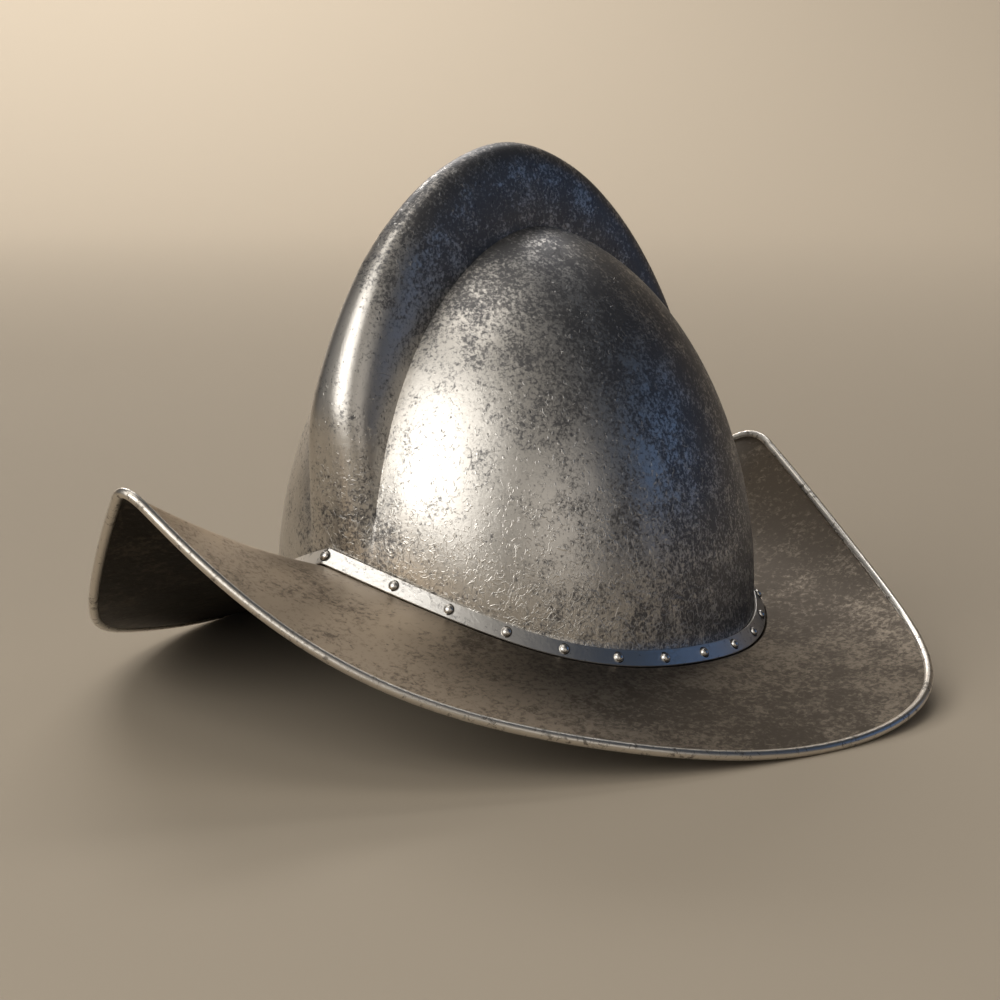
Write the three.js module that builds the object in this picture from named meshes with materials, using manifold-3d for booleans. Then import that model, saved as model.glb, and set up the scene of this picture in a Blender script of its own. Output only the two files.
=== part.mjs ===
// Comb morion: a raised steel helmet with a tall comb, a swept brim and a riveted base band.
// Millimetres, +Z up. X is the width, -Y the front and +Y the rear.
// The origin is on the surface that the brim rests on, at the middle of the brim's outline.
import * as THREE from 'three'
import Module from 'manifold-3d'
import { mergeVertices } from 'three/addons/utils/BufferGeometryUtils.js'

const wasm = await Module()
wasm.setup()

// Clearance that neighbouring pieces keep
const gap = 0.35

// Sheet, band and bead
const skullWall = 1.4
const brimSheet = 1.2
const bandThickness = 1
const bandHeight = 6.8
const bandFlare = 35
const beadRadius = 1.9
const slotDepth = 1.7

// Brim: plan of its edge and the height of that edge over the resting surface
const brimHalfLength = 180
const brimHalfWidth = 161.7
const brimPointPower = 0.89
const brimPlanPower = 2.06
const brimRearShare = 0.284
const brimShoulderShare = 0.337
const brimTilt = -8.6
const brimSideRise = 55.2
const brimTwist = -1.7
const brimSideEase = -56.8
const peakRise = 92.6
const peakSag = 3
const peakRoundShare = 0.985
const peakReach = 2

// Ring line: where the band's rivets sit, round the foot of the skull
const ringHalfLength = 107.7
const ringHalfWidth = 93.6
const ringSidePower = 0.585
const ringCornerPower = 0.25
const ringPlanPower = 2.35
const ringRearShift = 22.5
const ringSideHeight = 23.1
const ringTilt = -8
const ringRise = 11.3
const ringPeakRise = 22.5

// Bowl: its half sizes at the foot, its height and the two exponents of its outline
const bowlInset = 2
const bowlHeight = 162.1
const bowlSidePower = 2.18
const bowlPlanPower = 1.78

// Comb: its midline over the bowl, half thickness along the crease and rounding across
const combHeight = 193.6
const combShift = -7.7
const combHalfTop = 10.2
const combHalfLow = 20
const combFootShare = 0.955
const combPower = 2.4
// Midline points between the two feet, as shares of the ring's half length and the comb's height
const combMidline = [
  { along: -0.925, up: 0.4 },
  { along: -0.922, up: 0.513 },
  { along: -0.8, up: 0.69 },
  { along: -0.62, up: 0.832 },
  { along: -0.33, up: 0.951 },
  { along: 0, up: 1 },
  { along: 0.33, up: 0.951 },
  { along: 0.62, up: 0.832 },
  { along: 0.86, up: 0.65 },
  { along: 0.99, up: 0.45 },
  { along: 1.04, up: 0.28 }
]

// Rivets
const rivetHeadRadius = 2
const rivetHeadHeight = 1.3
const rivetDomeShare = 0.72
const rivetDomeRise = 0.66
const rivetShankRadius = 1.1
const rivetClenchRadius = 1.7
const rivetClenchHeight = 0.7
// Places of the rivets of one side, as shares of the ring's length from the front to the rear
const rivetShares = [0, 0.094, 0.165, 0.236, 0.307, 0.378, 0.449, 0.52, 0.587, 0.651, 0.713, 0.773, 0.845, 0.922, 1]

// Fineness of the meshes
const ringSteps = 29
const combSteps = 26
const combAcross = 4
const bowlRows = 6
const beadSides = 8
const rivetSides = 6
const lineSamples = 400

// Share of a corner's offset that is kept where neighbouring faces turn sharply
const sheetMiter = 0.6
const wallMiter = 0.7

const rad = Math.PI / 180
const vec = (x, y, z) => new THREE.Vector3(x, y, z)
const mirror = (p) => vec(-p.x, p.y, p.z)
const power = (base, exponent) => Math.pow(Math.max(base, 0), exponent)

// Brim edge: the centre line of the bead, u runs from -1 at the front tip to 1 at the rear tip
function edgeSweep(u) {
  return brimTilt * u + brimSideRise * u ** 2 + brimTwist * u ** 3 + brimSideEase * u ** 4 + peakRise * u ** 6
}

let lowestSweep = 0
for (let u = -0.5; u <= 0.5; u += 0.01) lowestSweep = Math.min(lowestSweep, edgeSweep(u))

function rawEdge(u) {
  const spread = power(1 - power(Math.abs(u), brimPlanPower), brimPointPower)
  const width = brimHalfWidth * spread * (1 + brimRearShare * u + brimShoulderShare * u ** 2)
  return vec(width, brimHalfLength * u, beadRadius + edgeSweep(u) - lowestSweep)
}

// The last stretch to each tip is a small arc instead of a sharp corner
function edgePoint(u) {
  if (Math.abs(u) <= peakRoundShare) return rawEdge(u)
  const end = Math.sign(u)
  const from = rawEdge(end * peakRoundShare)
  const tip = rawEdge(end).add(vec(0, end * peakReach, peakReach))
  const t = 0.5 * (Math.abs(u) - peakRoundShare) / (1 - peakRoundShare)
  const near = from.clone().multiplyScalar((1 - t) ** 2)
  const mid = tip.clone().multiplyScalar(2 * t * (1 - t))
  return near.add(mid).add(mirror(from).multiplyScalar(t ** 2))
}

// Ring line with a slight corner at the front and the rear
function ringPoint(u) {
  const roundness = ringSidePower + ringCornerPower * u ** 8
  const width = ringHalfWidth * power(1 - power(Math.abs(u), ringPlanPower), roundness)
  const height = ringSideHeight + ringTilt * u + ringRise * u ** 2 + ringPeakRise * u ** 4
  return vec(width, ringRearShift + ringHalfLength * u, height)
}

const uAt = (t) => -Math.cos(Math.PI * t)

// Outward direction of the ring in plan, lengthened where the two sides meet in a corner
const normalStep = 0.012
const cornerMiter = 0.5

function ringNormal(u) {
  const t = Math.acos(-u) / Math.PI
  const inner = Math.min(Math.max(t, normalStep), 1 - normalStep)
  const tangent = ringPoint(uAt(inner + normalStep)).sub(ringPoint(uAt(inner - normalStep)))
  const normal = vec(tangent.y, -tangent.x, 0).normalize()
  if (t > 1e-6 && t < 1 - 1e-6) return normal
  return vec(0, Math.sign(u) / Math.max(Math.abs(normal.y), cornerMiter), 0)
}

// A point in the section of the foot: along runs down the band, deep runs from its face inward
function footPoint(u, along, deep) {
  const out = along * Math.sin(bandFlare * rad) - deep * Math.cos(bandFlare * rad)
  const up = -along * Math.cos(bandFlare * rad) - deep * Math.sin(bandFlare * rad)
  return ringPoint(u).addScaledVector(ringNormal(u), out).add(vec(0, 0, up))
}

const bandHalf = bandHeight / 2
const hemDepth = bandThickness + gap
const flangeDepth = hemDepth + skullWall + gap

// Solids from vertices and faces
function solid(points, faces) {
  const geometry = new THREE.BufferGeometry()
  geometry.setAttribute('position', new THREE.Float32BufferAttribute(points.flatMap((p) => [p.x, p.y, p.z]), 3))
  geometry.setIndex(faces.flat())
  return closed(geometry)
}

function closed(geometry) {
  const bare = geometry.clone()
  bare.deleteAttribute('normal')
  bare.deleteAttribute('uv')
  const merged = mergeVertices(bare, 1e-4)
  const index = merged.getIndex().array
  const kept = []
  for (let i = 0; i < index.length; i += 3) {
    const [a, b, c] = [index[i], index[i + 1], index[i + 2]]
    if (a !== b && b !== c && c !== a) kept.push(a, b, c)
  }
  return new wasm.Manifold(new wasm.Mesh({
    numProp: 3,
    vertProperties: Float32Array.from(merged.getAttribute('position').array),
    triVerts: Uint32Array.from(kept)
  }))
}

// Two faces of a quad, cut along its shorter diagonal
function quadFaces(points, a, b, c, d) {
  const short = points[a].distanceTo(points[c]) <= points[b].distanceTo(points[d])
  return short ? [[a, b, c], [a, c, d]] : [[a, b, d], [b, c, d]]
}

// A band of quads closed in both directions: loops[i][j] with i round the part and j round its section
function loopSolid(loops) {
  const rows = loops[0].length
  const points = loops.flat()
  const faces = []
  for (let i = 0; i < loops.length; i += 1) {
    const next = (i + 1) % loops.length
    for (let j = 0; j < rows; j += 1) {
      const over = (j + 1) % rows
      faces.push(...quadFaces(points, i * rows + j, next * rows + j, next * rows + over, i * rows + over))
    }
  }
  const made = solid(points, faces)
  if (made.volume() > 0) return made
  return solid(points, faces.map(([a, b, c]) => [a, c, b]))
}

// Stations round the whole part: the +X side from front to rear, then the -X side back again
function around(make, steps = ringSteps) {
  const near = []
  for (let i = 0; i <= steps; i += 1) near.push(make(uAt(i / steps)))
  const far = near.slice(1, -1).reverse().map((section) => section.map(mirror))
  return near.concat(far)
}

// Band
function buildBand() {
  return loopSolid(around((u) => [
    footPoint(u, -bandHalf, 0),
    footPoint(u, bandHalf, 0),
    footPoint(u, bandHalf, bandThickness),
    footPoint(u, -bandHalf, bandThickness)
  ]))
}

// Brim: middle surface from the flange's top, round its bend, out to the slot in the bead
const bendRoom = 0.1
const sagAt = (u) => peakSag * u ** 4

function sheetRoot(u) {
  const lip = gap + brimSheet / 2
  return footPoint(u, bandHalf, 0).addScaledVector(ringNormal(u), lip).add(vec(0, 0, -lip - bendRoom))
}

function sheetPoint(u, share) {
  const root = sheetRoot(u)
  const edge = edgePoint(u)
  const sag = 4 * sagAt(u) * share * (1 - share)
  return root.lerp(edge, share).add(vec(0, 0, -sag))
}

// Directions at the bead: along the edge, and inward along the sheet square to the edge
const edgeStep = 0.006

function edgeFrame(u) {
  const t = Math.acos(-u) / Math.PI
  const before = t < edgeStep ? mirror(edgePoint(uAt(edgeStep - t))) : edgePoint(uAt(t - edgeStep))
  const after = t > 1 - edgeStep ? mirror(edgePoint(uAt(2 - edgeStep - t))) : edgePoint(uAt(t + edgeStep))
  const along = after.sub(before).normalize()
  const inward = sheetRoot(u).sub(edgePoint(u)).add(vec(0, 0, -4 * sagAt(u)))
  inward.addScaledVector(along, -inward.dot(along)).normalize()
  return { along, inward, across: along.clone().cross(inward).normalize() }
}

const sheetEnd = beadRadius - slotDepth + gap
const sheetShares = [0.5]
const sheetLead = 6

function sheetMiddle(u) {
  const flange = flangeDepth + brimSheet / 2
  const { inward } = edgeFrame(u)
  return [
    footPoint(u, -bandHalf, flange),
    footPoint(u, bandHalf + gap + brimSheet / 2, flange),
    sheetRoot(u),
    ...sheetShares.map((share) => sheetPoint(u, share)),
    edgePoint(u).addScaledVector(inward, sheetLead),
    edgePoint(u).addScaledVector(inward, sheetEnd)
  ]
}

function buildBrim() {
  const middle = around(sheetMiddle)
  const count = middle.length
  const rows = middle[0].length
  const loops = middle.map((section, i) => {
    const before = middle[(i + count - 1) % count]
    const after = middle[(i + 1) % count]
    const top = []
    const bottom = []
    for (let j = 0; j < rows; j += 1) {
      const round = after[j].clone().sub(before[j]).normalize()
      const normals = []
      if (j > 0) normals.push(section[j].clone().sub(section[j - 1]).cross(round).normalize())
      if (j < rows - 1) normals.push(section[j + 1].clone().sub(section[j]).cross(round).normalize())
      const mean = normals.reduce((sum, n) => sum.add(n), vec(0, 0, 0)).normalize()
      const stretch = 1 / Math.max(mean.dot(normals[0]), sheetMiter)
      top.push(section[j].clone().addScaledVector(mean, stretch * brimSheet / 2))
      bottom.push(section[j].clone().addScaledVector(mean, -stretch * brimSheet / 2))
    }
    return top.concat(bottom.reverse())
  })
  return loopSolid(loops)
}

// Bead with a slot on the sheet's side
function buildBead() {
  const slotHalf = brimSheet / 2 + gap
  const opening = Math.asin(slotHalf / beadRadius)
  return loopSolid(around((u) => {
    const centre = edgePoint(u)
    const { inward, across } = edgeFrame(u)
    const at = (a, b) => centre.clone().addScaledVector(inward, a).addScaledVector(across, b)
    const section = []
    for (let k = 0; k <= beadSides; k += 1) {
      const angle = opening + (2 * Math.PI - 2 * opening) * k / beadSides
      section.push(at(beadRadius * Math.cos(angle), beadRadius * Math.sin(angle)))
    }
    section.push(at(beadRadius - slotDepth, -slotHalf), at(beadRadius - slotDepth, slotHalf))
    return section
  }))
}

// Bowl surface: turn is the plan angle from +X, climb runs from 0 at the foot to 90 degrees at the top
const bowlBase = ringSideHeight
const bowlHalfWidth = ringHalfWidth - bowlInset
const bowlHalfLength = ringHalfLength - bowlInset

function bowlPoint(turn, climb) {
  const spread = power(Math.cos(climb), 2 / bowlPlanPower)
  const rise = power(Math.sin(climb), 2 / bowlSidePower)
  return vec(
    bowlHalfWidth * spread * Math.cos(turn),
    ringRearShift + bowlHalfLength * spread * Math.sin(turn),
    bowlBase + bowlHeight * rise
  )
}

function bowlPlace(p) {
  const turn = Math.atan2((p.y - ringRearShift) / bowlHalfLength, p.x / bowlHalfWidth)
  const rise = Math.min(Math.max((p.z - bowlBase) / bowlHeight, 0), 1)
  return { turn, climb: Math.asin(Math.min(Math.pow(rise, bowlSidePower / 2), 1)) }
}

// Comb: rays from a centre at the bowl's foot, angle 0 to the front and 180 to the rear
const combCentre = vec(0, ringRearShift + combShift, bowlBase)
const rayAngle = (p) => Math.atan2(p.z - combCentre.z, combCentre.y - p.y)
const hemTop = (u) => footPoint(u, -bandHalf, hemDepth)

const midline = new THREE.CatmullRomCurve3([
  hemTop(-1),
  ...combMidline.map(({ along, up }) => combCentre.clone().add(vec(0, along * ringHalfLength, up * combHeight))),
  hemTop(1)
], false, 'centripetal').getPoints(lineSamples)

function midlineRadius(angle) {
  for (let i = 1; i < midline.length; i += 1) {
    const [a, b] = [rayAngle(midline[i - 1]), rayAngle(midline[i])]
    if (angle > b && i < midline.length - 1) continue
    const share = (angle - a) / (b - a)
    return midline[i - 1].clone().lerp(midline[i], share).sub(combCentre).length()
  }
}

const combHalf = (angle) => combHalfTop + (combHalfLow - combHalfTop) * Math.cos(angle) ** 2

// Crease: where the comb's flank meets the bowl on the ray of that angle
function creasePoint(angle) {
  const half = combHalf(angle)
  const at = (share) => {
    const spread = Math.hypot(share, half / bowlHalfWidth)
    const rise = power(1 - power(spread, bowlPlanPower), 1 / bowlSidePower)
    return vec(half, ringRearShift + share * bowlHalfLength, bowlBase + rise * bowlHeight)
  }
  let [low, high] = [-0.99, 0.99]
  for (let i = 0; i < 40; i += 1) {
    const middle = (low + high) / 2
    if (rayAngle(at(middle)) < angle) low = middle
    else high = middle
  }
  return at((low + high) / 2)
}

const ease = (share) => Math.max(1 - share, 0) ** 2
const footBlend = 0.16

// Outer skin of the +X half: the comb strip from crease to midline, and the bowl from hem to crease
function outerHalf() {
  const frontFoot = rayAngle(hemTop(-combFootShare))
  const rearFoot = rayAngle(hemTop(combFootShare))
  const frontTip = rayAngle(hemTop(-1))
  const rearTip = rayAngle(hemTop(1))
  const footStart = Math.acos(combFootShare) / Math.PI
  const strip = []
  const bowl = []
  for (let j = 0; j <= combSteps; j += 1) {
    const share = j / combSteps
    const creaseAngle = THREE.MathUtils.lerp(frontFoot, rearFoot, share)
    const tipAngle = THREE.MathUtils.lerp(frontTip, rearTip, share)
    const toFront = ease(share / footBlend)
    const toRear = ease((1 - share) / footBlend)
    const crease = creasePoint(creaseAngle)
    const creaseRadius = crease.clone().setX(0).sub(combCentre).length()
    const tipRadius = midlineRadius(tipAngle)
    const across = []
    for (let k = 0; k <= combAcross; k += 1) {
      const turn = k / combAcross * Math.PI / 2
      const inShare = power(Math.cos(turn), 2 / combPower)
      const outShare = power(Math.sin(turn), 2 / combPower)
      const angle = THREE.MathUtils.lerp(creaseAngle, tipAngle, k / combAcross)
      const radius = THREE.MathUtils.lerp(creaseRadius, tipRadius, outShare)
      const ray = vec(0, -Math.cos(angle), Math.sin(angle)).multiplyScalar(radius)
      const point = combCentre.clone().add(ray).setX(crease.x * (k === combAcross ? 0 : inShare))
      const footU = uAt(footStart * (1 - k / combAcross))
      point.lerp(hemTop(footU), toFront).lerp(hemTop(-footU), toRear)
      across.push(point)
    }
    strip.push(across)
    const rootU = uAt(THREE.MathUtils.lerp(footStart, 1 - footStart, share))
    const root = hemTop(rootU)
    const [low, high] = [bowlPlace(root), bowlPlace(across[0])]
    const lowError = root.clone().sub(bowlPoint(low.turn, low.climb))
    const highError = across[0].clone().sub(bowlPoint(high.turn, high.climb))
    const column = []
    for (let v = 0; v <= bowlRows; v += 1) {
      const rise = v / bowlRows
      const turn = THREE.MathUtils.lerp(low.turn, high.turn, rise)
      const climb = THREE.MathUtils.lerp(low.climb, high.climb, rise)
      const lowShare = (1 - rise) ** 2
      const point = bowlPoint(turn, climb)
      point.addScaledVector(lowError, lowShare).addScaledVector(highError, 1 - lowShare)
      column.push(point)
    }
    bowl.push(column)
  }
  return { strip, bowl, footStart }
}

// Faces of a grid of points, wound the other way when flip is set
function gridFaces(points, grid, flip) {
  const faces = []
  for (let i = 0; i < grid.length - 1; i += 1) {
    for (let j = 0; j < grid[i].length - 1; j += 1) {
      faces.push(...quadFaces(points, grid[i][j], grid[i + 1][j], grid[i + 1][j + 1], grid[i][j + 1]))
    }
  }
  return flip ? faces.map(([a, b, c]) => [a, c, b]) : faces
}

function buildSkull() {
  const points = []
  const keys = new Map()
  const put = (p) => {
    const key = [p.x, p.y, p.z].map((value) => Math.round(value * 1e3)).join()
    if (!keys.has(key)) {
      keys.set(key, points.length)
      points.push(p)
    }
    return keys.get(key)
  }
  const { strip, bowl, footStart } = outerHalf()
  const near = (grid) => grid.map((row) => row.map(put))
  const far = (grid) => grid.map((row) => row.map((p) => put(mirror(p))))
  const outer = [
    ...gridFaces(points, near(strip), false), ...gridFaces(points, near(bowl), false),
    ...gridFaces(points, far(strip), true), ...gridFaces(points, far(bowl), true)
  ].filter(([a, b, c]) => a !== b && b !== c && c !== a)

  // Offset inward by the wall along mean normals
  const sums = points.map(() => vec(0, 0, 0))
  const touching = points.map(() => [])
  for (const [a, b, c] of outer) {
    const normal = points[b].clone().sub(points[a]).cross(points[c].clone().sub(points[a]))
    for (const v of [a, b, c]) {
      sums[v].add(normal)
      touching[v].push(normal.clone().normalize())
    }
  }
  const inner = points.map((p, i) => {
    const mean = sums[i].normalize()
    const leaning = touching[i].reduce((sum, n) => sum + mean.dot(n), 0) / touching[i].length
    return p.clone().addScaledVector(mean, -skullWall / Math.max(leaning, wallMiter))
  })

  // Hem below the bend, down behind the band
  const bendDrop = skullWall * Math.tan(bandFlare * rad / 2)
  const rim = []
  for (let k = combAcross; k > 0; k -= 1) rim.push(uAt(footStart * (1 - k / combAcross)))
  for (let j = 0; j <= combSteps; j += 1) {
    rim.push(uAt(THREE.MathUtils.lerp(footStart, 1 - footStart, j / combSteps)))
  }
  for (let k = 1; k <= combAcross; k += 1) rim.push(-uAt(footStart * (1 - k / combAcross)))
  const base = points.length
  const all = [...points, ...inner]
  const hemFoot = bandHalf - gap / 2
  const side = (flip) => rim.map((u) => {
    const place = (p) => flip ? mirror(p) : p
    const top = keys.get([place(hemTop(u)).x, hemTop(u).y, hemTop(u).z].map((v) => Math.round(v * 1e3)).join())
    all[base + top] = place(footPoint(u, -bandHalf - bendDrop, hemDepth + skullWall))
    const outerFoot = all.push(place(footPoint(u, hemFoot, hemDepth))) - 1
    const innerFoot = all.push(place(footPoint(u, hemFoot, hemDepth + skullWall))) - 1
    return [top, outerFoot, innerFoot, base + top]
  })
  const faces = [
    ...outer,
    ...outer.map(([a, b, c]) => [base + a, base + c, base + b]),
    ...gridFaces(all, side(false), true),
    ...gridFaces(all, side(true), false)
  ]
  const made = solid(all, faces)
  return made.volume() > 0 ? made : solid(all, faces.map(([a, b, c]) => [a, c, b]))
}

// Rivet: turned about its own axis, with its head on the band and its end inside the flange
const rivetGrip = flangeDepth + brimSheet
const rivetTurn = Math.PI / rivetSides

function rivetGeometry() {
  const profile = [
    [0, -rivetGrip - gap - rivetClenchHeight],
    [rivetClenchRadius, -rivetGrip - gap],
    [rivetShankRadius, -rivetGrip - gap],
    [rivetShankRadius, gap],
    [rivetHeadRadius, gap],
    [rivetHeadRadius * rivetDomeShare, rivetHeadHeight * rivetDomeRise + gap],
    [0, rivetHeadHeight + gap]
  ]
  const outline = profile.map(([r, h]) => new THREE.Vector2(r, h))
  return new THREE.LatheGeometry(outline, rivetSides, rivetTurn).rotateX(Math.PI / 2)
}

function boreGeometry() {
  const reach = rivetGrip + 2 * gap
  const radius = (rivetShankRadius + gap) / Math.cos(Math.PI / rivetSides)
  const bore = new THREE.CylinderGeometry(radius, radius, 2 * reach, rivetSides, 1, false, rivetTurn)
  return bore.rotateX(Math.PI / 2).translate(0, 0, -reach / 2)
}

// Places along the ring by length, with the front and the rear on the midline
function rivetPlaces() {
  const lengths = [0]
  for (let i = 1; i <= lineSamples; i += 1) {
    const step = ringPoint(uAt(i / lineSamples)).distanceTo(ringPoint(uAt((i - 1) / lineSamples)))
    lengths.push(lengths[i - 1] + step)
  }
  return rivetShares.flatMap((along) => {
    const wanted = lengths[lineSamples] * along
    let i = 1
    while (i < lineSamples && lengths[i] < wanted) i += 1
    const share = (wanted - lengths[i - 1]) / (lengths[i] - lengths[i - 1])
    const u = uAt((i - 1 + share) / lineSamples)
    const onMidline = along === 0 || along === 1
    return onMidline ? [{ u, far: false }] : [{ u, far: false }, { u, far: true }]
  })
}

function rivetMatrix({ u, far }) {
  const centre = far ? mirror(ringPoint(u)) : ringPoint(u)
  const plan = ringNormal(u).normalize()
  const out = far ? mirror(plan) : plan
  const axis = out.multiplyScalar(Math.cos(bandFlare * rad)).add(vec(0, 0, Math.sin(bandFlare * rad)))
  const turn = new THREE.Quaternion().setFromUnitVectors(vec(0, 0, 1), axis)
  return new THREE.Matrix4().compose(centre, turn, vec(1, 1, 1))
}

const places = rivetPlaces()
const bores = places
  .map((place) => closed(boreGeometry().applyMatrix4(rivetMatrix(place))))
  .reduce((sum, bore) => sum.add(bore))

// Finish
const steel = (colour, roughness) => new THREE.MeshStandardMaterial({ color: colour, roughness, metalness: 1 })
const skullSteel = steel(0x8a8a8a, 0.34)
const brimSteel = steel(0x6f675e, 0.42)
const bandSteel = steel(0xb5b4b0, 0.3)
const beadSteel = steel(0x9a9690, 0.36)
const rivetSteel = steel(0xa6a6a6, 0.28)

function meshOf(name, made, material) {
  const { vertProperties, triVerts, numProp } = made.getMesh()
  const geometry = new THREE.BufferGeometry()
  const flat = []
  for (let i = 0; i < vertProperties.length; i += numProp) flat.push(...vertProperties.slice(i, i + 3))
  geometry.setAttribute('position', new THREE.Float32BufferAttribute(flat, 3))
  geometry.setIndex(new THREE.Uint32BufferAttribute(triVerts, 1))
  geometry.computeVertexNormals()
  const mesh = new THREE.Mesh(geometry, material)
  mesh.name = name
  return mesh
}

const helmet = new THREE.Group()
helmet.add(meshOf('skull', buildSkull().subtract(bores), skullSteel))
helmet.add(meshOf('brim', buildBrim().subtract(bores), brimSteel))
helmet.add(meshOf('base_band', buildBand().subtract(bores), bandSteel))
helmet.add(meshOf('rim_roll', buildBead(), beadSteel))
places.forEach((place, i) => {
  const name = `rivet_${String(i + 1).padStart(2, '0')}`
  const rivet = meshOf(name, closed(rivetGeometry()), rivetSteel)
  rivet.applyMatrix4(rivetMatrix(place))
  helmet.add(rivet)
})

export default helmet
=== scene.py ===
import math

import bpy
import numpy as np
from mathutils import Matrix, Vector


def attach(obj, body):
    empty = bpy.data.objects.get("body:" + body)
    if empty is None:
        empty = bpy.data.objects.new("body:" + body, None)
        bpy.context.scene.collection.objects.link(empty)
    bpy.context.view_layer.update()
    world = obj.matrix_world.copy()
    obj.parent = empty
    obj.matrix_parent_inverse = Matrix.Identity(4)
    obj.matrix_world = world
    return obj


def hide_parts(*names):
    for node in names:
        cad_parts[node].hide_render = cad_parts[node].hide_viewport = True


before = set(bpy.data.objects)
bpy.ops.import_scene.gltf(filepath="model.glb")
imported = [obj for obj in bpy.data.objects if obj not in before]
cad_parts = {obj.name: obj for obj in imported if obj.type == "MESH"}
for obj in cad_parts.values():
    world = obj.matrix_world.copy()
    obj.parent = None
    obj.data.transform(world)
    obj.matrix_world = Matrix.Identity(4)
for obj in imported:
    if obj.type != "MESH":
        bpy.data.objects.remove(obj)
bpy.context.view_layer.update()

# Sizes in millimetres, as in the part's own source
GAP = 0.35
SKULL_WALL = 1.4
BRIM_SHEET = 1.2
BAND_THICKNESS = 1.0
BAND_HALF = 3.4
BAND_FLARE = math.radians(35)
BEAD_RADIUS = 1.9
BRIM_HALF_LENGTH = 180.0
BRIM_HALF_WIDTH = 161.7
PEAK_SAG = 3.0
PEAK_ROUNDING = 0.985
PEAK_REACH = 2.0
RING_HALF_LENGTH = 107.7
RING_HALF_WIDTH = 93.6
RING_REAR_SHIFT = 22.5
RING_HEIGHT = 23.1
BOWL_INSET = 2.0
BOWL_HEIGHT = 162.1
BOWL_SHOULDER = 2.18
BOWL_CROWN = 1.78
COMB_HEIGHT = 193.6
COMB_SHIFT = -7.7
COMB_HALF_TOP = 10.2
COMB_HALF_LOW = 20.0
COMB_FOOT = 0.955
COMB_SQUARENESS = 2.4
COMB_MIDLINE = [
    (-0.925, 0.4), (-0.922, 0.513), (-0.8, 0.69), (-0.62, 0.832), (-0.33, 0.951), (0, 1),
    (0.33, 0.951), (0.62, 0.832), (0.86, 0.65), (0.99, 0.45), (1.04, 0.28),
]
RIVET_SHARES = [
    0, 0.094, 0.165, 0.236, 0.307, 0.378, 0.449, 0.52, 0.587, 0.651, 0.713, 0.773, 0.845, 0.922, 1,
]
RIVET_DOME = 1.95
RIVET_RISE = 1.43
RIVET_SEAT = 2.3
RIVET_SHANK = 1.1
RIVET_TAIL = 1.7
RIVET_TAIL_RISE = 0.7
HEM_DEPTH = BAND_THICKNESS + GAP
FLANGE_DEPTH = HEM_DEPTH + SKULL_WALL + GAP

# Shape of the brim's edge and of the ring: factors of u to each power, u running from front to rear
EDGE_RISE = {1: -8.6, 2: 55.2, 3: -1.7, 4: -56.8, 6: 92.6}
EDGE_POINT_POWER = 2.06
EDGE_PLAN_POWER = 0.89
EDGE_REAR_SHARE = 0.284
EDGE_SHOULDER_SHARE = 0.337
RING_SIDE_POWER = 2.35
RING_ROUNDNESS = 0.585
RING_CORNER_ROUNDNESS = 0.25
RING_RISE = {1: -8, 2: 11.3, 4: 22.5}

# Fineness of the shells
RING_STEPS = 170
COMB_STEPS = 150
COMB_ACROSS = 16
BOWL_ROWS = 48
BEAD_SIDES = 14
BEAD_STEPS = 260
SPLINE_STEPS = 700
RIVET_SIDES = 20
DOME_ROWS = 8
LINE_SAMPLES = 400
NORMAL_STEP = 0.012
BEAD_STEP = 0.006

# The crease between comb and bowl opens into a soft valley over this share of its length at each end
VALLEY_SHARE = 0.085
VALLEY_ROUNDS = 40
FOOT_SHARE = 0.16


def vec(x, y, z):
    return np.array([x, y, z], float)


def mirror(p):
    return p * np.array([-1.0, 1.0, 1.0])


def unit(v):
    return v / max(np.linalg.norm(v), 1e-12)


def lerp(a, b, share):
    return a + (b - a) * share


def u_at(t):
    return -math.cos(math.pi * t)


# Lines of the brim's edge and of the ring where the rivets sit
def edge_sweep(u):
    return sum(factor * u**power for power, factor in EDGE_RISE.items())


LOWEST = min(edge_sweep(i / 100) for i in range(-50, 51))


def raw_edge(u):
    spread = max(1 - abs(u) ** EDGE_POINT_POWER, 0) ** EDGE_PLAN_POWER
    width = BRIM_HALF_WIDTH * spread * (1 + EDGE_REAR_SHARE * u + EDGE_SHOULDER_SHARE * u**2)
    return vec(width, BRIM_HALF_LENGTH * u, BEAD_RADIUS + edge_sweep(u) - LOWEST)


def edge_point(u):
    if abs(u) <= PEAK_ROUNDING:
        return raw_edge(u)
    end = math.copysign(1, u)
    start = raw_edge(end * PEAK_ROUNDING)
    tip = raw_edge(end) + vec(0, end * PEAK_REACH, PEAK_REACH)
    t = 0.5 * (abs(u) - PEAK_ROUNDING) / (1 - PEAK_ROUNDING)
    return start * (1 - t) ** 2 + tip * 2 * t * (1 - t) + mirror(start) * t**2


def ring_point(u):
    roundness = RING_ROUNDNESS + RING_CORNER_ROUNDNESS * u**8
    width = RING_HALF_WIDTH * max(1 - abs(u) ** RING_SIDE_POWER, 0) ** roundness
    height = RING_HEIGHT + sum(factor * u**power for power, factor in RING_RISE.items())
    return vec(width, RING_REAR_SHIFT + RING_HALF_LENGTH * u, height)


def ring_normal(u):
    t = math.acos(-max(min(u, 1), -1)) / math.pi
    inner = min(max(t, NORMAL_STEP), 1 - NORMAL_STEP)
    tangent = ring_point(u_at(inner + NORMAL_STEP)) - ring_point(u_at(inner - NORMAL_STEP))
    normal = unit(vec(tangent[1], -tangent[0], 0))
    if 1e-6 < t < 1 - 1e-6:
        return normal
    return vec(0, math.copysign(1, u) / max(abs(normal[1]), 0.5), 0)


def foot_point(u, along, deep):
    out = along * math.sin(BAND_FLARE) - deep * math.cos(BAND_FLARE)
    up = -along * math.cos(BAND_FLARE) - deep * math.sin(BAND_FLARE)
    return ring_point(u) + ring_normal(u) * out + vec(0, 0, up)


def hem_top(u):
    return foot_point(u, -BAND_HALF, HEM_DEPTH)


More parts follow.
